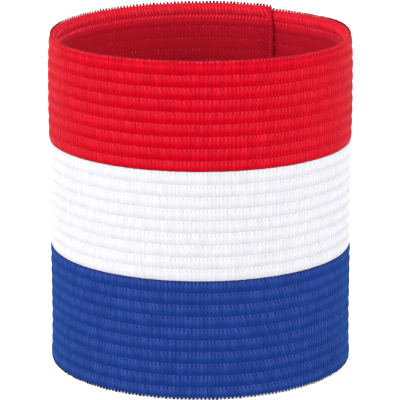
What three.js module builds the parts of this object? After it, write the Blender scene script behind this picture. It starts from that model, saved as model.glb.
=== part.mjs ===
// Captain armband: one ribbed elastic strip in three stripes, wrapped once round and sewn where its ends lap.
// Millimetres, +Z up, open from end to end along Z. The origin is the centre of the bottom edge and the
// front faces -Y, so the lapped seam lies at the back, to the right of the middle.
import * as THREE from "three";

// Size of the finished band, lying unstretched.
const bandDiameter = 72; // across the rib crests
const bandHeight = 80;

// The knitted strip.
const wallThickness = 2; // inner face to rib crest
const grooveDepth = 0.5; // rib crest to the bottom of the crease between two ribs
const ribFlank = 0.27; // share of a rib's pitch that each of its sloping flanks takes
const edgeChamfer = 0.4; // broken corner where the inner face meets the top and bottom edges
const yarnChangeGap = 0.3; // between two stripes, at the crease where the yarn changes colour

// The lapped seam.
const seamAngle = 59; // degrees from +X towards +Y, where the inner end stops
const lapLength = 12; // how far the outer end runs on past the inner end
const layerGap = 0.3; // between the two layers of the lap
const innerShare = 0.55; // share of the layers' step that the inner one takes, towards the axis
const stepEase = 16; // length over which a layer comes back to the circle
const outerDrop = 0.95; // how far the outer end's top edge is drawn down
const dropEase = 28; // length over which that top edge comes back up, from the seam
const innerRise = 0.3; // how far the inner end's top edge stands up

// How finely the strip is divided along its length, and its inner face over its height.
const stepsAround = 46;
const ribsPerInnerStep = 3;

// From the top stripe down.
const stripes = [
  { name: "red_stripe", ribs: 9, colour: 0xd3122b },
  { name: "white_stripe", ribs: 9, colour: 0xf3f3f6 },
  { name: "blue_stripe", ribs: 10, colour: 0x1b3b90 },
];

// Outline of the relaxed wall: height as a share of the band's height, radius as a share of its radius.
const outline = [
  { height: 0, radius: 1.004 },
  { height: 0.05, radius: 1.002 },
  { height: 0.14, radius: 0.999 },
  { height: 0.3, radius: 1.002 },
  { height: 0.66, radius: 1.001 },
  { height: 0.78, radius: 1.007 },
  { height: 0.91, radius: 1.005 },
  { height: 0.97, radius: 0.999 },
  { height: 1, radius: 0.988 },
];

const bandRadius = bandDiameter / 2;
const ribCount = stripes.reduce((sum, stripe) => sum + stripe.ribs, 0);
const ribPitch = bandHeight / ribCount;
const stripLength = 2 * Math.PI * bandRadius + lapLength;
const layerStep = wallThickness + layerGap;

// The outline's radius share at a height, on straight lines between its rows.
function outlineShare(height) {
  const share = THREE.MathUtils.clamp(height / bandHeight, 0, 1);
  const above = Math.max(1, outline.findIndex((row) => row.height >= share));
  const [low, high] = [outline[above - 1], outline[above]];
  const along = (share - low.height) / (high.height - low.height);
  return THREE.MathUtils.lerp(low.radius, high.radius, along);
}

// Cross-section of one stripe: x runs from the inner face to the rib crests, y is the height.
function stripeSection(bottom, ribs) {
  const top = bottom + ribs * ribPitch;
  const isFoot = bottom < ribPitch / 2;
  const isRim = top > bandHeight - ribPitch / 2;
  const low = isFoot ? bottom : bottom + yarnChangeGap / 2;
  const high = isRim ? top : top - yarnChangeGap / 2;
  const crease = wallThickness - grooveDepth;
  const points = [new THREE.Vector2(crease, low)];
  for (let rib = 0; rib < ribs; rib++) {
    const foot = bottom + rib * ribPitch;
    const creaseHeight = rib < ribs - 1 ? foot + ribPitch : high;
    points.push(new THREE.Vector2(wallThickness, foot + ribFlank * ribPitch));
    points.push(new THREE.Vector2(wallThickness, foot + (1 - ribFlank) * ribPitch));
    points.push(new THREE.Vector2(crease, creaseHeight));
  }
  if (isRim) points.push(new THREE.Vector2(edgeChamfer, high));
  points.push(new THREE.Vector2(0, isRim ? high - edgeChamfer : high));
  for (let rib = ribs - ribsPerInnerStep; rib > 0; rib -= ribsPerInnerStep) {
    points.push(new THREE.Vector2(0, bottom + rib * ribPitch));
  }
  points.push(new THREE.Vector2(0, isFoot ? low + edgeChamfer : low));
  if (isFoot) points.push(new THREE.Vector2(edgeChamfer, low));
  return new THREE.Shape(points);
}

// How far the wall is moved out from the circle, at a distance along the strip from its outer end.
function layerShift(along) {
  const fromInnerEnd = stripLength - along;
  const out = 1 - THREE.MathUtils.smoothstep(along, lapLength, lapLength + stepEase);
  const inwards = 1 - THREE.MathUtils.smoothstep(fromInnerEnd, lapLength, lapLength + stepEase);
  return layerStep * ((1 - innerShare) * out - innerShare * inwards);
}

// How far the top edge is moved up from its level, at the same distance. The bottom edge stays level.
function topShift(along) {
  const fromInnerEnd = stripLength - along;
  const drop = 1 - THREE.MathUtils.smoothstep(along, lapLength, lapLength + dropEase);
  const rise = 1 - THREE.MathUtils.smoothstep(fromInnerEnd, lapLength, lapLength + stepEase);
  return innerRise * rise - outerDrop * drop;
}

// Bends a straight length of strip, extruded along z, round the band. It runs clockwise seen from above,
// from its outer end, past the seam and once round to its inner end.
function wrapRound(geometry) {
  const position = geometry.getAttribute("position");
  for (let i = 0; i < position.count; i++) {
    const along = position.getZ(i);
    const height = position.getY(i);
    const angle = THREE.MathUtils.degToRad(seamAngle) + (lapLength - along) / bandRadius;
    const inner = bandRadius * outlineShare(height) - wallThickness;
    const radius = inner + position.getX(i) + layerShift(along);
    const level = height + topShift(along) * (height / bandHeight);
    position.setXYZ(i, radius * Math.cos(angle), radius * Math.sin(angle), level);
  }
  geometry.deleteAttribute("uv");
  geometry.computeVertexNormals();
  return geometry;
}

function makeStripe(stripe, bottom) {
  const section = stripeSection(bottom, stripe.ribs);
  const strip = new THREE.ExtrudeGeometry(section, {
    depth: stripLength,
    steps: stepsAround,
    bevelEnabled: false,
  });
  const knit = new THREE.MeshStandardMaterial({ color: stripe.colour, roughness: 0.9, metalness: 0 });
  const mesh = new THREE.Mesh(wrapRound(strip), knit);
  mesh.name = stripe.name;
  return mesh;
}

const armband = new THREE.Group();
let stripeTop = bandHeight;
for (const stripe of stripes) {
  const bottom = stripeTop - stripe.ribs * ribPitch;
  armband.add(makeStripe(stripe, bottom));
  stripeTop = bottom;
}

export default armband;
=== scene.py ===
# Captain armband in ribbed elastic: three knitted stripes, one strip wrapped once round and sewn at the back.
# Everything is first laid out on the flat strip (X along it, Y out from its inner face, Z up its height)
# and then bent round by the wrapRound nodes, so each stitch follows the wall it sits on.
import math

import bpy
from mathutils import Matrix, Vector


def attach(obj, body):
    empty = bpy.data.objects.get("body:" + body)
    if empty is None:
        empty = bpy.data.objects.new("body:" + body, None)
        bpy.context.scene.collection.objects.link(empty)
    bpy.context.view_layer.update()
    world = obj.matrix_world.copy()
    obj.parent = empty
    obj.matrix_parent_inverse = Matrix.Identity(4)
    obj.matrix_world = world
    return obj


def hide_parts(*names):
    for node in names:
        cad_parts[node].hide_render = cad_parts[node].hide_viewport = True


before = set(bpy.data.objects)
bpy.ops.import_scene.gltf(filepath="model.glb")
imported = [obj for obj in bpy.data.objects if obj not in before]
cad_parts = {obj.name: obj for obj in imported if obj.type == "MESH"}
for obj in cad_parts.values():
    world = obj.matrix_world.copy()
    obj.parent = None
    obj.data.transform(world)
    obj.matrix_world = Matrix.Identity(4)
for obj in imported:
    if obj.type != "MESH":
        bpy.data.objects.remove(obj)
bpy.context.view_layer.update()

mm = 0.001

# the strip and the way it is wrapped, as the armband was drawn
band = {
    "radius": 36 * mm,  # rib crests
    "height": 80 * mm,
    "ribs": 28,
    "whiteFrom": 10,  # first ribs of the white and the red stripe, counted from the bottom
    "redFrom": 19,
    "columns": 261,  # yarn columns along the whole strip
    "wall": 2.0 * mm,  # inner face to rib crest, stitches included
    "inner": 0.34 * mm,  # depth of the ground that the inner stitches lie on
    "crest": 1.88 * mm,  # depth of the ground under the outer stitches, at a rib's crest
    "crease": 1.70 * mm,  # and between two ribs
    "innerChannel": 0.12 * mm,  # depth of the faint channel between two ribs inside
    "roundness": 0.85,  # power on the rib's sine: lower is fuller
    "peak": 1.66 * mm,  # depth at which the rounded edge is highest
    "outerRound": 0.5 * mm,  # height over which the outer face rounds off at the edges
    "innerRound": 1.3 * mm,
    "foot": 0.5 * mm,  # height of the edge loops that the wall stands on
    "seamAngle": math.radians(59),
    "lap": 12 * mm,
    "layerGap": 0.08 * mm,
    "innerShare": 0.55,
    "stepEase": 16 * mm,
    "outerDrop": 0.95 * mm,
    "dropEase": 28 * mm,
    "innerRise": 0.3 * mm,
    "cutThin": 0.17,  # share of the wall left at a cut end, where the sewing presses it
    "cutEase": 3.2 * mm,
    "wobble": 0.16 * mm,  # how uneven the knitted wall is, and how fine that is
    "wobbleScale": 26.0,
    "closeness": 0.0105,  # share by which the ribs lie closer together than an even spread
    "closeMiddle": 30 * mm,
    "edgeEase": 2.6 * mm,
    "frontSag": 0.28 * mm,  # how much lower the top edge hangs at the front
    "backSag": 0.20 * mm,  # at the back
    "sideSag": 0.45 * mm,  # and at the two sides
    "edgeSagPower": 40.0,  # how near the top edge the front and back sag stay
    "sideSagPower": 6.0,
    "frontPress": 0.85,  # how much flatter the loops over the top edge lie at the front
    "endReach": 0.1 * mm,  # how far the inner end is pulled on, and its top corner back
    "cornerPull": 0.25 * mm,
    "pullEase": 4 * mm,
}
band["pitch"] = band["height"] / band["ribs"]
band["length"] = 2 * math.pi * band["radius"] + band["lap"]
band["column"] = band["length"] / band["columns"]

# height as a share of the band's height, radius as a share of its radius
outline = [
    (0, 1.008), (0.05, 1.002), (0.14, 0.999), (0.3, 1.002), (0.66, 1.001),
    (0.78, 1.007), (0.91, 1.005), (0.97, 1.000), (1, 0.992),
]

# the border knitted inside each edge, measured from the edge
border = {
    "width": 3.9 * mm,
    "ease": 0.8 * mm,
    "rise": 0.16 * mm,  # how far it stands out from the inner face
    "groove": 2.34 * mm,  # middle of the channel between its two rows
    "grooveHalf": 0.3 * mm,
    "grooveDepth": 0.04 * mm,
    "rowsEnd": 3.5 * mm,  # how far the two rows reach, past which the border is smooth
    "groundShade": 1.35,  # tone of the ground between the rows' stitches
    "smoothTone": 1.46,
    "paintedLipShade": 0.74,  # painted shade: tone of the rounded lip over the border
    "lipFrom": 0.3 * mm,
    "lipTo": 0.9 * mm,
}

# first rib counted from the bottom, number of ribs, the painted shade in the holes between stitches, how
# narrow the stitches' necks, how far they stand out, the painted light on their sides (1 as their backs) and
# how much their tones and the yarn's own vary, heights where it meets another yarn and gets a line of painted
# shade, the yarn's deep and lit colours as linear light (a shaded and a lit copy of one yarn, mixed by the
# painted light), its fuzz and the fuzz's tint
stripes = {
    "blue": {
        "first": 0, "ribs": band["whiteFrom"],
        "paintedHoleShade": 0.30, "neck": 0.50, "relief": 0.14 * mm,
        "paintedSideLight": -1.0, "toneSpread": 0.12, "mottle": 0.10, "changes": [band["whiteFrom"] * band["pitch"]],
        "deep": (0.0085, 0.0345, 0.206), "lit": (0.0280, 0.0545, 0.239),
        "fuzz": 0.22, "fuzzTint": (0.03, 0.5, 0.9),
    },
    "white": {
        "first": band["whiteFrom"], "ribs": band["redFrom"] - band["whiteFrom"],
        "paintedHoleShade": 0.06, "neck": 0.38, "relief": 0.043 * mm,
        "paintedSideLight": 1.0, "toneSpread": 0.03, "mottle": 0.045, "changes": [],
        "deep": (0.608, 0.608, 0.646), "lit": (0.630, 0.630, 0.652),
        "fuzz": 1.0, "fuzzTint": (1.0, 1.0, 1.0),
    },
    "red": {
        "first": band["redFrom"], "ribs": band["ribs"] - band["redFrom"],
        "paintedHoleShade": 0.12, "neck": 0.42, "relief": 0.14 * mm,
        "paintedSideLight": -1.5, "toneSpread": 0.085, "mottle": 0.10, "changes": [band["redFrom"] * band["pitch"]],
        "deep": (0.505, 0.0001, 0.0098), "lit": (0.540, 0.0125, 0.0300),
        "fuzz": 0.19, "fuzzTint": (1.0, 0.66, 0.62),
    },
}


# a value inside a node tree: sums and products of values make their own math nodes
class Field:
    def __init__(self, tree, socket):
        self.tree = tree
        self.socket = socket

    def __add__(self, other):
        return self.tree.math("ADD", self, other)

    def __sub__(self, other):
        return self.tree.math("SUBTRACT", self, other)

    def __rsub__(self, other):
        return self.tree.math("SUBTRACT", other, self)

    def __mul__(self, other):
        return self.tree.math("MULTIPLY", self, other)

    def __truediv__(self, other):
        return self.tree.math("DIVIDE", self, other)

    def __pow__(self, other):
        return self.tree.math("POWER", self, other)

    __radd__ = __add__
    __rmul__ = __mul__


# writes nodes into a geometry or a shader tree
class Tree:
    def __init__(self, nodeTree):
        self.nodeTree = nodeTree

    def add(self, kind, feeds=None, **settings):
        node = self.nodeTree.nodes.new(kind)
        for key, value in settings.items():
            setattr(node, key, value)
        for key, value in (feeds or {}).items():
            sockets = [s for s in node.inputs if s.enabled and s.name == key]
            self.feed(sockets[0] if sockets else node.inputs[key], value)
        return node

    def feed(self, socket, value):
        if isinstance(value, Field):
            self.nodeTree.links.new(value.socket, socket)
        else:
            socket.default_value = value

    # the node's first output in use, or the one of that name
    def out(self, node, name=None):
        sockets = [s for s in node.outputs if s.enabled and name in (None, s.name)]
        return Field(self, sockets[0])

    def math(self, operation, *values, clamp=False):
        node = self.add("ShaderNodeMath", operation=operation, use_clamp=clamp)
        for socket, value in zip(node.inputs, values):
            self.feed(socket, value)
        return self.out(node)

    # value carried from one range to another, held at both ends
    def ramp(self, value, start, end, low=0.0, high=1.0, shape="LINEAR"):
        feeds = {"Value": value, "From Min": start, "From Max": end, "To Min": low, "To Max": high}
        return self.out(self.add("ShaderNodeMapRange", feeds, clamp=True, interpolation_type=shape))

    def vector(self, x, y, z):
        return self.out(self.add("ShaderNodeCombineXYZ", {"X": x, "Y": y, "Z": z}))

    def split(self, vector):
        node = self.add("ShaderNodeSeparateXYZ", {"Vector": vector})
        return [self.out(node, axis) for axis in "XYZ"]

    def noise(self, vector, scale, detail=2.0):
        feeds = {"Vector": vector, "Scale": scale, "Detail": detail}
        return self.out(self.add("ShaderNodeTexNoise", feeds))


# a geometry tree with named inputs; sizes is {input name: value}
class Maker(Tree):
    def __init__(self, name, sizes):
        super().__init__(bpy.data.node_groups.new(name, "GeometryNodeTree"))
        face = self.nodeTree.interface
        face.new_socket("Geometry", in_out="INPUT", socket_type="NodeSocketGeometry")
        face.new_socket("Geometry", in_out="OUTPUT", socket_type="NodeSocketGeometry")
        self.given = {}
        for label, value in sizes.items():
            kind = "NodeSocketInt" if isinstance(value, int) else "NodeSocketFloat"
            kind = "NodeSocketMaterial" if isinstance(value, bpy.types.Material) else kind
            socket = face.new_socket(label, in_out="INPUT", socket_type=kind)
            self.given[socket.identifier] = value
        self.entry = self.add("NodeGroupInput")
        self.exit = self.add("NodeGroupOutput")

    def size(self, name):
        return Field(self, self.entry.outputs[name])

    def make(self, kind, feeds=None, **settings):
        return self.out(self.add(kind, feeds, **settings))

    def place(self):
        return self.split(self.make("GeometryNodeInputPosition"))

    def move(self, geometry, x, y, z):
        return self.make("GeometryNodeSetPosition", {"Geometry": geometry, "Position": self.vector(x, y, z)})

    def chance(self, low, high, seed):
        feeds = {"Min": low, "Max": high, "Seed": seed}
        return self.make("FunctionNodeRandomValue", feeds, data_type="FLOAT")

    def store(self, geometry, name, value, kind="FLOAT"):
        feeds = {"Geometry": geometry, "Name": name, "Value": value}
        return self.make("GeometryNodeStoreNamedAttribute", feeds, data_type=kind, domain="POINT")

    def join(self, parts):
        node = self.add("GeometryNodeJoinGeometry")
        for part in parts:
            self.nodeTree.links.new(part.socket, node.inputs[0])
        return self.out(node)

    # notes where each point lies on the flat strip, bends the strip round and gives the material
    def finish(self, geometry):
        real = self.make("GeometryNodeRealizeInstances", {"Geometry": geometry})
        along, depth, height = self.place()
        onStrip = self.vector(along / mm, depth / mm, height / mm)
        noted = self.store(real, "stripPlace", onStrip, "FLOAT_VECTOR")
        wrap = self.add("GeometryNodeGroup", node_tree=wrapRound.nodeTree)
        self.feed(wrap.inputs["Geometry"], noted)
        for label, value in wrapSizes.items():
            wrap.inputs[label].default_value = value
        smooth = self.make("GeometryNodeSetShadeSmooth", {"Geometry": self.out(wrap)})
        whole = self.make("GeometryNodeRealizeInstances", {"Geometry": smooth})
        feeds = {"Geometry": whole, "Material": self.size("Material")}
        self.feed(self.exit.inputs["Geometry"], self.make("GeometryNodeSetMaterial", feeds))


wrapSizes = {
    "Radius": band["radius"],
    "Height": band["height"],
    "Wall": band["wall"],
    "Strip length": band["length"],
    "Lap": band["lap"],
    "Seam angle": band["seamAngle"],
    "Layer step": band["wall"] + band["layerGap"],
    "Wobble": band["wobble"],
}


def makeWrapRound():
    tree = Maker("wrapRound", wrapSizes)
    along, depth, height = tree.place()
    fromEnd = tree.size("Strip length") - along
    thickness = tree.size("Wall")
    lap = tree.size("Lap")

    # the sewing presses each cut end thin, the outer one inwards and the inner one outwards
    outerThin = tree.ramp(along, 0.0, band["cutEase"], band["cutThin"], 1.0, "SMOOTHSTEP")
    innerThin = tree.ramp(fromEnd, 0.0, band["cutEase"], band["cutThin"], 1.0, "SMOOTHSTEP")
    within = tree.math("MAXIMUM", tree.math("MINIMUM", depth, thickness), 0.0)
    beyond = depth - within
    depth = thickness - (thickness - within * outerThin) * innerThin + beyond

    out = tree.ramp(along, lap, lap + band["stepEase"], 1.0, 0.0, "SMOOTHSTEP")
    inwards = tree.ramp(fromEnd, lap, lap + band["stepEase"], 1.0, 0.0, "SMOOTHSTEP")
    shift = tree.size("Layer step") * (out * (1 - band["innerShare"]) - inwards * band["innerShare"])
    drop = tree.ramp(along, lap, lap + band["dropEase"], 1.0, 0.0, "SMOOTHSTEP")
    lift = inwards * band["innerRise"] - drop * band["outerDrop"]

    share = height / tree.size("Height")
    radius = tree.size("Radius") * outline[0][1] - thickness
    for (low, lowRadius), (high, highRadius) in zip(outline, outline[1:]):
        radius = radius + tree.ramp(share, low, high, 0.0, (highRadius - lowRadius) * band["radius"])

    corner = tree.ramp(height, band["height"] - border["width"], band["height"])
    pull = band["endReach"] - corner * band["cornerPull"]
    pull = tree.ramp(fromEnd, 0.0, band["pullEase"], 1.0, 0.0) * pull
    angle = tree.size("Seam angle") + (lap - along - pull) / tree.size("Radius")
    cos = tree.math("COSINE", angle)
    sin = tree.math("SINE", angle)
    # soft unevenness of the knitted wall, read on the circle so that it has no seam of its own
    around = tree.vector(cos * band["radius"], sin * band["radius"], height)
    unevenness = (tree.noise(around, band["wobbleScale"], 1.0) - 0.5) * tree.size("Wobble") * 2
    radius = radius + unevenness + depth + shift
    # ribs lie a little closer than evenly, so those at both edges are the tallest
    inBetween = tree.ramp(height, 0.0, band["edgeEase"])
    inBetween = inBetween * tree.ramp(tree.size("Height") - height, 0.0, band["edgeEase"])
    offChange = tree.math("ABSOLUTE", height - band["redFrom"] * band["pitch"])
    inBetween = inBetween * tree.ramp(offChange, 0.0, band["edgeEase"] / 2)
    closer = (height - band["closeMiddle"]) * band["closeness"] * inBetween
    nearTop = tree.math("MULTIPLY", share, 1.0, clamp=True)
    front = (1 - sin) * 0.5
    sag = nearTop ** band["edgeSagPower"] * (front * band["frontSag"] + (1 - front) * band["backSag"])
    sag = sag + nearTop ** band["sideSagPower"] * cos * cos * band["sideSag"]
    over = tree.math("MAXIMUM", height - tree.size("Height"), 0.0)
    pressed = over * tree.ramp(sin, -0.3, 0.3, band["frontPress"], 0.0)
    level = height + lift * nearTop - closer - sag - pressed
    moved = tree.move(Field(tree, tree.entry.outputs["Geometry"]), radius * cos, radius * sin, level)
    tree.feed(tree.exit.inputs["Geometry"], moved)
    return tree


wrapRound = makeWrapRound()


# 0 to 1 over each rib, up the height
def ribPhase(tree, height):
    return tree.math("FRACT", height / band["pitch"] + 0.0001)


# rounds a face's depth off towards the peak of the top and bottom edges
def roundOff(tree, depth, height, reach):
    low = tree.ramp(height, band["foot"], band["foot"] + reach, 1.0, 0.0)
    high = tree.ramp(height, band["height"] - reach, band["height"])
    past = low + high
    left = tree.math("SQRT", 1.03 - past * past)
    return (depth - band["peak"]) * left + band["peak"]


# depth of the outer face over the ribs
def outerDepth(tree, height):
    bulge = tree.math("SINE", ribPhase(tree, height) * math.pi) ** band["roundness"]
    depth = bulge * (band["crest"] - band["crease"]) + band["crease"]
    return roundOff(tree, depth, height, band["outerRound"])


paintedShine = {
    "litFrom": 0.32,  # share of a rib's height at which the painted light on its yarn starts
    "litFull": 0.83,
    "fadeFrom": 0.9,
    "fadeTo": 0.6,  # painted light left at the crease above
    "deepFrom": 1.2 * mm,  # from the top edge down
    "deepFull": 0.6 * mm,
    "deepLight": 0.1,
    "rimFrom": 0.2 * mm,
    "rimFull": 0.08 * mm,
    "paintedRimHighlight": 2.8,  # painted highlight on the thin top edge
}


# painted light over a rib: the lit yarn colour on its upper side, which faces the light, the deep one below
def paintedRibLight(tree, height):
    phase = ribPhase(tree, height)
    light = tree.ramp(phase, paintedShine["litFrom"], paintedShine["litFull"], 0.0, 1.0, "SMOOTHSTEP")
    light = light * tree.ramp(phase, paintedShine["fadeFrom"], 1.0, 1.0, paintedShine["fadeTo"])
    # the top rib turns deep again under a painted highlight on its thin edge
    top = band["height"]
    deep = tree.ramp(height, top - paintedShine["deepFrom"], top - paintedShine["deepFull"], 1.0, paintedShine["deepLight"])
    paintedRim = tree.ramp(height, top - paintedShine["rimFrom"], top - paintedShine["rimFull"], 0.0, paintedShine["paintedRimHighlight"])
    return light * deep + paintedRim


# how far a height is from the nearer edge of the band
def fromEdge(tree, height):
    return tree.math("MINIMUM", height, band["height"] - height)


# depth of the inner face: a faint channel between ribs, and the raised border inside each edge
def innerDepth(tree, height):
    wave = tree.math("COSINE", height / band["pitch"] * (2 * math.pi))
    depth = tree.math("MAXIMUM", wave, 0.0) ** 6.0 * band["innerChannel"]
    edge = fromEdge(tree, height)
    rise = tree.ramp(edge, border["width"], border["width"] + border["ease"], 1.0, 0.0, "SMOOTHSTEP")
    offGroove = tree.math("ABSOLUTE", edge - border["groove"])
    groove = tree.ramp(offGroove, 0.0, border["grooveHalf"], border["grooveDepth"], 0.0, "SMOOTHSTEP")
    depth = depth * (1 - rise) - rise * border["rise"] + groove + band["inner"]
    return roundOff(tree, depth, height, band["innerRound"])


# evaluates a maker's tree, keeps the result as a plain mesh and lets it ride with the band
def keepMesh(name, tree, slot):
    piece = bpy.data.objects.new(name, bpy.data.meshes.new(name + "Start"))
    bpy.context.scene.collection.objects.link(piece)
    modifier = piece.modifiers.new("make", "NODES")
    modifier.node_group = tree.nodeTree
    for identifier, value in tree.given.items():
        modifier[identifier] = value
    evaluated = piece.evaluated_get(bpy.context.evaluated_depsgraph_get())
    mesh = bpy.data.meshes.new_from_object(evaluated)
    piece.modifiers.clear()
    piece.data = mesh
    mesh.name = name
    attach(piece, "root")
    print(f"{name}: {sum(len(face.vertices) - 2 for face in mesh.polygons)} triangles")
    return piece


knit = {
    "roughness": 0.9,
    "fuzzRoughness": 0.30,
    "specular": 0.02,
    "bump": 0.25,
    "fibreAlong": 9.0,  # how fine the fibres are each way, and the patches of tone
    "fibreDeep": 3.0,
    "fibreUp": 1.6,
    "patchScale": 0.35,
    "innerTone": 1.0,
    "paintedInnerShade": 0.66,  # painted shade: tone of the inner face deep inside, as a share of that at its top
    "innerShadeFull": 62.0,  # mm up the band
    "innerShadeEnd": 76.0,
    "paintedChangeShade": 0.42,  # painted shade: tone of the line in the crease where another yarn takes over
    "changeWidth": 0.32,  # mm
    "paintedCutShade": 0.7,  # painted shadow: tone along a cut end
    "cutWidth": 0.20,  # mm
}


# deep or lit copy of the yarn colour by the stored painted light, varied by fibres and patches, darkened by
# the stored tone and painted shade, and by painted shade deep inside the inner face, along a colour change
# and on the strip's two cut ends
def yarnMaterial(name, row, settings):
    material = bpy.data.materials.new(name)
    material.use_nodes = True
    material.node_tree.nodes.clear()
    tree = Tree(material.node_tree)
    links = material.node_tree.links
    place = tree.out(tree.add("ShaderNodeAttribute", attribute_name="stripPlace"), "Vector")
    toneAndPaintedShade = tree.out(tree.add("ShaderNodeAttribute", attribute_name="toneAndPaintedShade"), "Fac")
    # the stored light is painted light: how far the yarn takes its lit colour rather than its deep one
    light = tree.out(tree.add("ShaderNodeAttribute", attribute_name="light"), "Fac")
    light = tree.math("MAXIMUM", light, 0.0)
    inside = tree.out(tree.add("ShaderNodeAttribute", attribute_name="inside"), "Fac")
    along, depth, height = tree.split(place)
    finer = [along * settings["fibreAlong"], depth * settings["fibreDeep"], height * settings["fibreUp"]]
    fibres = tree.noise(tree.vector(*finer), 1.0, 3.0)
    patches = tree.noise(place, settings["patchScale"])
    tone = (fibres - 0.5) * (row["mottle"] * 2) + (patches - 0.5) * row["mottle"] + 1.0
    paintedInnerDark = tree.ramp(height, settings["innerShadeFull"], settings["innerShadeEnd"], settings["paintedInnerShade"], 1.0)
    tone = tone * toneAndPaintedShade * (1 - inside * (1 - paintedInnerDark * settings["innerTone"]))
    # painted shade along the crease where another yarn takes over
    for change in row["changes"]:
        away = tree.math("ABSOLUTE", height - change / mm)
        wide = settings["changeWidth"]
        tone = tone * tree.ramp(away, wide / 2, wide, settings["paintedChangeShade"], 1.0)
    # painted shadow along the strip's two cut ends
    fromCut = tree.math("MINIMUM", along, band["length"] / mm - along)
    wide = settings["cutWidth"]
    tone = tone * tree.ramp(fromCut, wide / 3, wide, settings["paintedCutShade"], 1.0)
    blend = tree.add("ShaderNodeMix", data_type="RGBA", clamp_factor=False)
    tree.feed(blend.inputs["Factor"], light)
    blend.inputs[6].default_value = (*row["deep"], 1)
    blend.inputs[7].default_value = (*row["lit"], 1)
    scaled = tree.add("ShaderNodeVectorMath", operation="SCALE")
    links.new(blend.outputs[2], scaled.inputs[0])
    tree.feed(scaled.inputs["Scale"], tone)
    bump = tree.add("ShaderNodeBump", {"Height": fibres, "Strength": settings["bump"], "Distance": 0.15 * mm})
    skin = tree.add("ShaderNodeBsdfPrincipled")
    links.new(scaled.outputs[0], skin.inputs["Base Color"])
    links.new(bump.outputs["Normal"], skin.inputs["Normal"])
    skin.inputs["Roughness"].default_value = settings["roughness"]
    skin.inputs["Specular IOR Level"].default_value = settings["specular"]
    skin.inputs["Sheen Weight"].default_value = row["fuzz"]
    skin.inputs["Sheen Roughness"].default_value = settings["fuzzRoughness"]
    skin.inputs["Sheen Tint"].default_value = (*row["fuzzTint"], 1)
    output = tree.add("ShaderNodeOutputMaterial")
    links.new(skin.outputs["BSDF"], output.inputs["Surface"])
    return material


yarns = {}
for stripe, row in stripes.items():
    yarns[stripe] = yarnMaterial(stripe + "Yarn", row, knit)


wall = {
    "gap": 0.06 * mm,  # at the crease where the yarn changes
    "stepsAlong": 200,
    "outerPerRib": 12,
    "innerPerRib": 6,
    "holePhase": 0.86,  # where the painted shade of the holes between two stitches lies, just under each crease
    "holeHalf": 0.22,
    "paintedUnderShade": 0.93,  # painted shade: tone of the wall between its stitches
    "paintedOuterLight": 0.3,  # and the painted light there, as a share of the stitches'
    "innerLight": 0.6,  # painted light of its inner face
}


# a closed section of ribs, swept along the straight strip
def makeWall(stripe, row):
    last = row["first"] + row["ribs"]
    sizes = {
        "Bottom": row["first"] * band["pitch"] + wall["gap"] / 2 if row["first"] else band["foot"],
        "Top": last * band["pitch"] - (wall["gap"] / 2 if last < band["ribs"] else 0),
        "Strip length": band["length"],
        "Steps along": wall["stepsAlong"],
        "Outer points": row["ribs"] * wall["outerPerRib"] + 1,
        "Inner points": row["ribs"] * wall["innerPerRib"] + 1,
        "Material": yarns[stripe],
    }
    tree = Maker(stripe + "WallNodes", sizes)
    end = tree.vector(tree.size("Strip length"), 0.0, 0.0)
    line = tree.make("GeometryNodeCurvePrimitiveLine", {"End": end})
    line = tree.make("GeometryNodeResampleCurve", {"Curve": line, "Count": tree.size("Steps along")})
    outerPoints = tree.size("Outer points")
    innerPoints = tree.size("Inner points")
    ring = tree.make("GeometryNodeCurvePrimitiveCircle", {"Resolution": outerPoints + innerPoints})
    # the ring's points climb the outer face and come down the inner one
    index = tree.make("GeometryNodeInputIndex")
    isInner = tree.math("GREATER_THAN", index, outerPoints - 0.5)
    climb = index / (outerPoints - 1)
    descent = 1 - (index - outerPoints) / (innerPoints - 1)
    share = climb + (descent - climb) * isInner
    height = tree.size("Bottom") + share * (tree.size("Top") - tree.size("Bottom"))
    outer = outerDepth(tree, height)
    depth = outer + (innerDepth(tree, height) - outer) * isInner
    plain = tree.ramp(fromEdge(tree, height), border["width"], border["width"] + border["ease"])
    # painted shade in the holes under each crease and on the wall between the stitches
    offHole = tree.math("ABSOLUTE", ribPhase(tree, height) - wall["holePhase"])
    paintedHole = tree.ramp(offHole, 0.0, wall["holeHalf"], row["paintedHoleShade"], 0.0, "SMOOTHSTEP")
    outerPaintedShade = (1 - paintedHole) * wall["paintedUnderShade"]
    # painted light from the rib's lit side
    paintedOuterLight = paintedRibLight(tree, height) * wall["paintedOuterLight"]
    smoothZone = tree.ramp(fromEdge(tree, height), border["rowsEnd"] - 0.2 * mm, border["rowsEnd"])
    innerTone = smoothZone * (1 - border["groundShade"]) + border["groundShade"]
    innerTone = innerTone * (1 + smoothZone * (1 - plain) * (border["smoothTone"] - 1))
    # painted shade on the rounded lip at each edge of the inner face
    paintedLip = tree.ramp(fromEdge(tree, height), border["lipFrom"], border["lipTo"], border["paintedLipShade"], 1.0)
    innerTone = innerTone * paintedLip
    ring = tree.store(ring, "inside", isInner * plain)
    ring = tree.store(ring, "toneAndPaintedShade", outerPaintedShade + (innerTone - outerPaintedShade) * isInner)
    # painted light: on the outer face from the rib's lit side, on the inner face a set share
    ring = tree.store(ring, "light", paintedOuterLight + (wall["innerLight"] - paintedOuterLight) * isInner)
    ring = tree.move(ring, depth * -1.0, height * -1.0, 0.0)
    feeds = {"Curve": line, "Profile Curve": ring, "Fill Caps": True}
    tree.finish(tree.make("GeometryNodeCurveToMesh", feeds))
    return keepMesh(stripe + "Wall", tree, stripe + "_knit")


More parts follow.
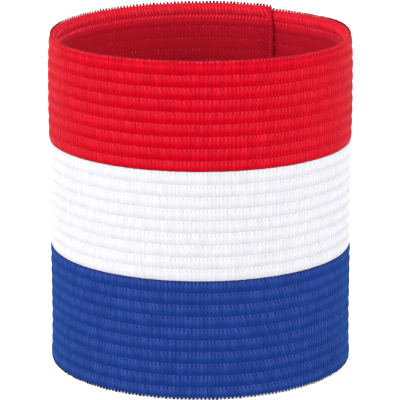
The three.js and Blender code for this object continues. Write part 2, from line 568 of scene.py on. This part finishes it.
# small yarn stitches in columns and rows, each a soft capsule; grid holds the first and last of both
def layStitches(tree, rule, grid, seed):
    spanX = grid["along"][1] - grid["along"][0]
    spanZ = grid["height"][1] - grid["height"][0]
    columns = grid["columns"]
    feeds = {"Size X": spanX, "Size Y": spanZ, "Vertices X": columns, "Vertices Y": grid["rows"]}
    net = tree.make("GeometryNodeMeshGrid", feeds)
    x, y, z = tree.place()
    along = x + sum(grid["along"]) / 2
    height = y + sum(grid["height"]) / 2
    patch = tree.noise(tree.vector(along, seed * 0.1, height), rule["patchScale"], 1.0) - 0.5
    number = tree.math("ROUND", (x / max(spanX, mm) + 0.5) * (columns - 1))
    side = tree.math("FLOORED_MODULO", number, 2.0) * 2 - 1
    lean = patch * rule["lean"] + side * rule["vee"] + rule["tilt"]
    lean = lean + tree.chance(-rule["jitter"], rule["jitter"], seed)
    along = along + tree.chance(-rule["shift"], rule["shift"], seed + 1)
    height = height + tree.chance(-rule["shift"], rule["shift"], seed + 2)
    dots = tree.move(net, along, 0.0, height)

    feeds = {"Segments": rule["sides"], "Rings": rule["rings"], "Radius": 1.0}
    bead = tree.make("GeometryNodeMeshUVSphere", feeds)
    bead = tree.store(bead, "reach", z)
    bead = tree.store(bead, "across", tree.math("ABSOLUTE", x))
    # square shoulders above a neck, so that a row's stitches meet at both ends and leave a hole at each neck
    neck = tree.ramp(tree.math("ABSOLUTE", z - 0.5), 0.0, 0.4, rule["neck"], 0.0)
    wide = z ** 8.0 * rule["shoulder"] + 1 - neck
    # ends and sides sink into the face, so that only a stitch's back shows
    sunk = y - (z ** 8.0 + x ** 4.0) * rule["sink"]
    bead = tree.move(bead, x * wide, sunk, z + (1 - z * z) * (rule["neck"] * 0.3))
    big = tree.chance(1 - rule["spread"], 1 + rule["spread"], seed + 3)
    feeds = {"Points": dots, "Instance": bead, "Rotation": tree.vector(0.0, lean, 0.0)}
    feeds["Scale"] = tree.vector(big * (rule["width"] / 2), big * rule["relief"], rule["length"] / 2)
    sown = tree.make("GeometryNodeInstanceOnPoints", feeds)
    # the tone is drawn once for each stitch, before it is made real
    tone = tree.chance(1 - rule["toneSpread"], 1 + rule["toneSpread"], seed + 4)
    feeds = {"Geometry": sown, "Name": "tone", "Value": tone}
    sown = tree.make("GeometryNodeStoreNamedAttribute", feeds, data_type="FLOAT", domain="INSTANCE")
    return tree.make("GeometryNodeRealizeInstances", {"Geometry": sown})


# columns evenly spaced along the whole strip, in rows from one height to another
def fullLength(columns, rows, lowest, highest):
    half = band["length"] / columns / 2
    along = (half, band["length"] - half)
    return {"columns": columns, "rows": rows, "along": along, "height": (lowest, highest)}


# puts laid stitches on a face and stores their tone with painted shade, and their painted light
def seatStitches(tree, stitches, rule, face):
    x, y, z = tree.place()
    if face is outerDepth:
        # the lowest rib is shortened by the loops under it
        z = z + tree.ramp(z, 0.0, band["pitch"], band["foot"], 0.0)
    reach = tree.make("GeometryNodeInputNamedAttribute", {"Name": "reach"}, data_type="FLOAT")
    tone = tree.make("GeometryNodeInputNamedAttribute", {"Name": "tone"}, data_type="FLOAT")
    across = tree.make("GeometryNodeInputNamedAttribute", {"Name": "across"}, data_type="FLOAT")
    # painted shade on each stitch's lower end, which faces down
    paintedFootDark = tree.ramp(reach, -0.9, -0.1, rule["paintedFootShade"], 0.0)
    shaded = tree.store(stitches, "toneAndPaintedShade", tone * (1 - paintedFootDark) * rule["tone"])
    # painted light: from the rib's lit side or the rule's own, changed on a stitch's sides by its painted
    # side light
    light = paintedRibLight(tree, z) if face is outerDepth else rule["light"]
    light = tone * light * tree.ramp(across, 0.5, 1.0, 1.0, rule["paintedSideLight"])
    shaded = tree.store(shaded, "light", light)
    shaded = tree.store(shaded, "inside", rule["inside"])
    return tree.move(shaded, x, face(tree, z) + y, z)


ribStitch = {
    "sides": 6, "rings": 6,
    "width": 1.36 * mm, "length": 2.98 * mm,
    "shoulder": 2.0, "sink": 0.8,
    "lean": 1.9, "vee": 0.0, "tilt": 0.0, "jitter": 0.10, "patchScale": 55.0,
    "shift": 0.07 * mm, "spread": 0.13,
    "tone": 1.02, "paintedFootShade": 0.06, "inside": 0.0,
}


def makeRibStitches(stripe, row, number):
    tree = Maker(stripe + "StitchNodes", {"Material": yarns[stripe]})
    lowest = (row["first"] + 0.5) * band["pitch"]
    grid = fullLength(band["columns"], row["ribs"], lowest, lowest + (row["ribs"] - 1) * band["pitch"])
    rule = {**ribStitch, **{key: row[key] for key in ("neck", "relief", "paintedSideLight", "toneSpread")}}
    laid = layStitches(tree, rule, grid, 10 * number)
    tree.finish(seatStitches(tree, laid, rule, outerDepth))
    return keepMesh(stripe + "Stitches", tree, stripe + "_knit")


innerStitch = {
    "sides": 4, "rings": 4,
    "width": 0.34 * mm, "relief": 0.10 * mm, "length": 0.95 * mm,
    "neck": 0.0, "shoulder": 0.0, "sink": 0.0,
    "lean": 1.6, "vee": 0.18, "tilt": 0.0, "jitter": 0.25, "patchScale": 55.0,
    "shift": 0.08 * mm, "spread": 0.3,
    "tone": 1.15, "toneSpread": 0.2, "paintedFootShade": 0.1, "paintedSideLight": 1.0, "light": 1.1, "inside": 1.0,
}


def makeInnerStitches(stripe, row, number):
    tree = Maker(stripe + "InnerNodes", {"Material": yarns[stripe]})
    # the border takes the place of the outermost rows
    low = max(row["first"], 2)
    high = min(row["first"] + row["ribs"] - 1, band["ribs"] - 2)
    grid = fullLength(band["columns"], high - low + 1, low * band["pitch"], high * band["pitch"])
    laid = layStitches(tree, innerStitch, grid, 10 * number)
    tree.finish(seatStitches(tree, laid, innerStitch, innerDepth))
    return keepMesh(stripe + "InnerStitches", tree, stripe + "_knit")


# rows of the border, from the edge inwards: distance of the row's middle from the edge, then its stitch
borderRows = [
    {"from": 0.45 * mm, "sides": 4, "rings": 4, "width": 0.40 * mm, "relief": 0.16 * mm,
     "length": 0.45 * mm, "lean": 0.3, "tilt": 0.0, "tone": 1.35},
    {"from": 1.42 * mm, "sides": 6, "rings": 5, "width": 0.60 * mm, "relief": 0.17 * mm,
     "length": 1.85 * mm, "lean": 1.0, "tilt": -0.36, "tone": 1.72, "light": 1.4, "paintedSideLight": -1.0},
    {"from": 2.95 * mm, "sides": 6, "rings": 4, "width": 0.36 * mm, "relief": 0.18 * mm,
     "length": 1.25 * mm, "lean": 0.6, "tilt": 0.50, "tone": 1.55, "light": 1.9},
]
borderCommon = {
    "neck": 0.0, "shoulder": 0.0, "sink": 0.0, "vee": 0.0, "jitter": 0.14, "patchScale": 55.0,
    "shift": 0.05 * mm, "spread": 0.15,
    "toneSpread": 0.14, "paintedFootShade": 0.04, "paintedSideLight": 1.0, "light": 1.0, "inside": 0.0,
}

loop = {
    "width": 0.36 * mm,
    "topRise": 0.36 * mm,
    "footRise": 0.42 * mm,
    "topLift": 0.03 * mm,  # where the loops' feet are, past the wall's edge
    "footLift": 0.17 * mm,
    "yarn": 0.18 * mm,
    "lean": 0.35,
    "paintedFootLight": 3.0,  # painted light on the yarn of the bottom loops, and of the top ones below
    "paintedTopLight": 1.6,
    "paintedTipShade": 0.04,  # painted shade: tone of the loop's shaded tip
    "topOuterTipShade": 0.12,  # how much of that painted shade shows on the outer side of the top loops
}


# small yarn loops that stand along an edge; side is 1 at the top and -1 at the bottom
def makeLoops(tree, side, seed):
    base = band["height"] + loop["topLift"] if side > 0 else band["foot"] + loop["footLift"]
    rise = loop["topRise"] if side > 0 else loop["footRise"]
    line = tree.make("GeometryNodeMeshGrid", {
        "Size X": band["length"] - band["column"], "Size Y": 0.0,
        "Vertices X": band["columns"], "Vertices Y": 1,
    })
    x, y, z = tree.place()
    line = tree.move(line, x + band["length"] / 2, 0.0, base)
    feeds = {"Resolution": 6, "Radius": 1.0, "Start Angle": 0.0, "Sweep Angle": math.pi}
    arc = tree.make("GeometryNodeCurveArc", feeds)
    arc = tree.move(arc, x * (loop["width"] / 2), 0.0, y * (rise * side))
    yarn = tree.make("GeometryNodeCurvePrimitiveCircle", {"Resolution": 5, "Radius": loop["yarn"]})
    arc = tree.make("GeometryNodeCurveToMesh", {"Curve": arc, "Profile Curve": yarn, "Fill Caps": True})
    arc = tree.store(arc, "reach", tree.math("ABSOLUTE", z) / rise)
    lean = tree.chance(-0.12, 0.12, seed) + loop["lean"]
    big = tree.chance(0.88, 1.12, seed + 1)
    feeds = {"Points": line, "Instance": arc, "Rotation": tree.vector(0.0, 0.0, lean)}
    feeds["Scale"] = tree.vector(big, big, big)
    sown = tree.make("GeometryNodeInstanceOnPoints", feeds)
    real = tree.make("GeometryNodeRealizeInstances", {"Geometry": sown})
    reach = tree.make("GeometryNodeInputNamedAttribute", {"Name": "reach"}, data_type="FLOAT")
    # painted shade on the loops' tips, on the top loops mostly on their inner side
    outerSide = loop["topOuterTipShade"] if side > 0 else 1.0
    tip = tree.ramp(reach, 0.3, 0.65) if side > 0 else tree.ramp(reach, 0.1, 0.5)
    paintedTipDark = tree.ramp(y, -0.1 * mm, 0.02 * mm, 1.0, outerSide) * tip
    real = tree.store(real, "toneAndPaintedShade", 1 - paintedTipDark * (1 - loop["paintedTipShade"]))
    real = tree.store(real, "light", (1 - paintedTipDark) * (loop["paintedTopLight"] if side > 0 else loop["paintedFootLight"]))
    real = tree.store(real, "inside", 0.0)
    return tree.move(real, x, y + band["peak"], z)


def makeBorder(stripe, side, number):
    tree = Maker(stripe + "BorderNodes", {"Material": yarns[stripe]})
    parts = [makeLoops(tree, side, 10 * number)]
    for place, row in enumerate(borderRows):
        rule = {**borderCommon, **row}
        height = band["height"] - row["from"] if side > 0 else band["foot"] + row["from"]
        grid = fullLength(band["columns"], 1, height, height)
        laid = layStitches(tree, rule, grid, 10 * number + 30 * place)
        parts.append(seatStitches(tree, laid, rule, innerDepth))
    tree.finish(tree.join(parts))
    return keepMesh(stripe + "Border", tree, stripe + "_knit")


seamStitch = {
    "fromCut": 0.75 * mm,
    "pitch": 0.62 * mm,
    "sides": 6, "rings": 4,
    "width": 0.50 * mm, "relief": 0.50 * mm, "length": 0.38 * mm,
    "neck": 0.0, "shoulder": 0.0, "sink": 0.0,
    "lean": 0.0, "vee": 0.0, "tilt": 0.0, "jitter": 0.3, "patchScale": 55.0,
    "shift": 0.05 * mm, "spread": 0.2,
    "tone": 1.3, "toneSpread": 0.15, "paintedFootShade": 0.4, "paintedSideLight": 1.0, "light": 2.4, "inside": 0.6,
}


# one line of stitching beside each cut end: the inner end's shows inside, the outer end's outside
def makeSeam(stripe, row, number):
    tree = Maker(stripe + "SeamNodes", {"Material": yarns[stripe]})
    low = row["first"] * band["pitch"] + band["foot"] * 2
    high = (row["first"] + row["ribs"]) * band["pitch"] - band["foot"] * 2
    rows = round((high - low) / seamStitch["pitch"])
    parts = []
    atOuterEnd = seamStitch["fromCut"]
    atInnerEnd = band["length"] - seamStitch["fromCut"]
    for place, face in ((atOuterEnd, outerDepth), (atInnerEnd, innerDepth)):
        grid = {"columns": 1, "rows": rows, "along": (place, place), "height": (low, high)}
        laid = layStitches(tree, seamStitch, grid, 10 * number + len(parts))
        parts.append(seatStitches(tree, laid, seamStitch, face))
    tree.finish(tree.join(parts))
    return keepMesh(stripe + "Seam", tree, stripe + "_knit")


for number, (stripe, row) in enumerate(stripes.items()):
    makeWall(stripe, row)
    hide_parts(stripe + "_stripe")
    parts = [makeRibStitches(stripe, row, number), makeInnerStitches(stripe, row, number + 5)]
    parts.append(makeSeam(stripe, row, number + 20))
    if row["first"] == 0:
        parts.append(makeBorder(stripe, -1, number + 9))
    if row["first"] + row["ribs"] == band["ribs"]:
        parts.append(makeBorder(stripe, 1, number + 9))
    flat = (row["ribs"] * band["pitch"], band["length"])
print("three stripes knitted")


studio = {
    "floorSize": 6.0,
    "floorTone": 0.75,
    "worldTone": 1.0,
    "worldPower": 0.28,
    "floorGlow": 0.6,
}


def makeStudio():
    half = studio["floorSize"] / 2
    mesh = bpy.data.meshes.new("floor")
    corners = [(-half, -half, 0), (half, -half, 0), (half, half, 0), (-half, half, 0)]
    mesh.from_pydata(corners, [], [(0, 1, 2, 3)])
    floor = bpy.data.objects.new("floor", mesh)
    bpy.context.scene.collection.objects.link(floor)
    material = bpy.data.materials.new("floorPaint")
    material.use_nodes = True
    skin = material.node_tree.nodes["Principled BSDF"]
    tone = studio["floorTone"]
    skin.inputs["Base Color"].default_value = (tone, tone, tone, 1)
    skin.inputs["Roughness"].default_value = 0.9
    skin.inputs["Emission Color"].default_value = (1, 1, 1, 1)
    skin.inputs["Emission Strength"].default_value = studio["floorGlow"]
    mesh.materials.append(material)

    world = bpy.data.worlds.new("studioWorld")
    bpy.context.scene.world = world
    world.use_nodes = True
    background = world.node_tree.nodes["Background"]
    tone = studio["worldTone"]
    background.inputs["Color"].default_value = (tone, tone, tone, 1)
    background.inputs["Strength"].default_value = studio["worldPower"]
    bpy.context.scene.view_settings.view_transform = "Standard"


# name, place, aim, size and power of each soft box
softBoxes = [
    {"name": "frontBox", "at": (0.0, -0.68, 1.20), "aim": (0, 0, 0.04), "size": 0.7, "power": 12.9},
    {"name": "leftBox", "at": (-1.00, -0.20, 0.75), "aim": (0, 0, 0.04), "size": 0.9, "power": 9.4},
    {"name": "rightBox", "at": (1.00, -0.20, 0.75), "aim": (0, 0, 0.04), "size": 0.9, "power": 6.6},
    {"name": "backBox", "at": (0.0, 1.20, 0.80), "aim": (0, 0, 0.04), "size": 0.9, "power": 6.0},
]


def makeSoftBoxes():
    for box in softBoxes:
        light = bpy.data.lights.new(box["name"], "AREA")
        light.shape = "SQUARE"
        light.size = box["size"]
        light.energy = box["power"]
        lamp = bpy.data.objects.new(box["name"], light)
        bpy.context.scene.collection.objects.link(lamp)
        lamp.location = box["at"]
        towards = Vector(box["aim"]) - Vector(box["at"])
        lamp.rotation_euler = towards.to_track_quat("-Z", "Y").to_euler()


view = {
    "aside": -0.10 * mm,
    "distance": 615.4 * mm,
    "height": 200.8 * mm,
    "pitch": math.radians(14.787),
    "lens": 238.5,
    "sensor": 36.0,
}


def makeCamera():
    camera = bpy.data.cameras.new("camera")
    camera.lens = view["lens"]
    camera.sensor_width = view["sensor"]
    holder = bpy.data.objects.new("camera", camera)
    holder.location = (view["aside"], -view["distance"], view["height"])
    holder.rotation_euler = (math.pi / 2 - view["pitch"], 0, 0)
    bpy.context.scene.collection.objects.link(holder)
    bpy.context.scene.camera = holder


makeStudio()
makeSoftBoxes()
makeCamera()
print("studio lit")
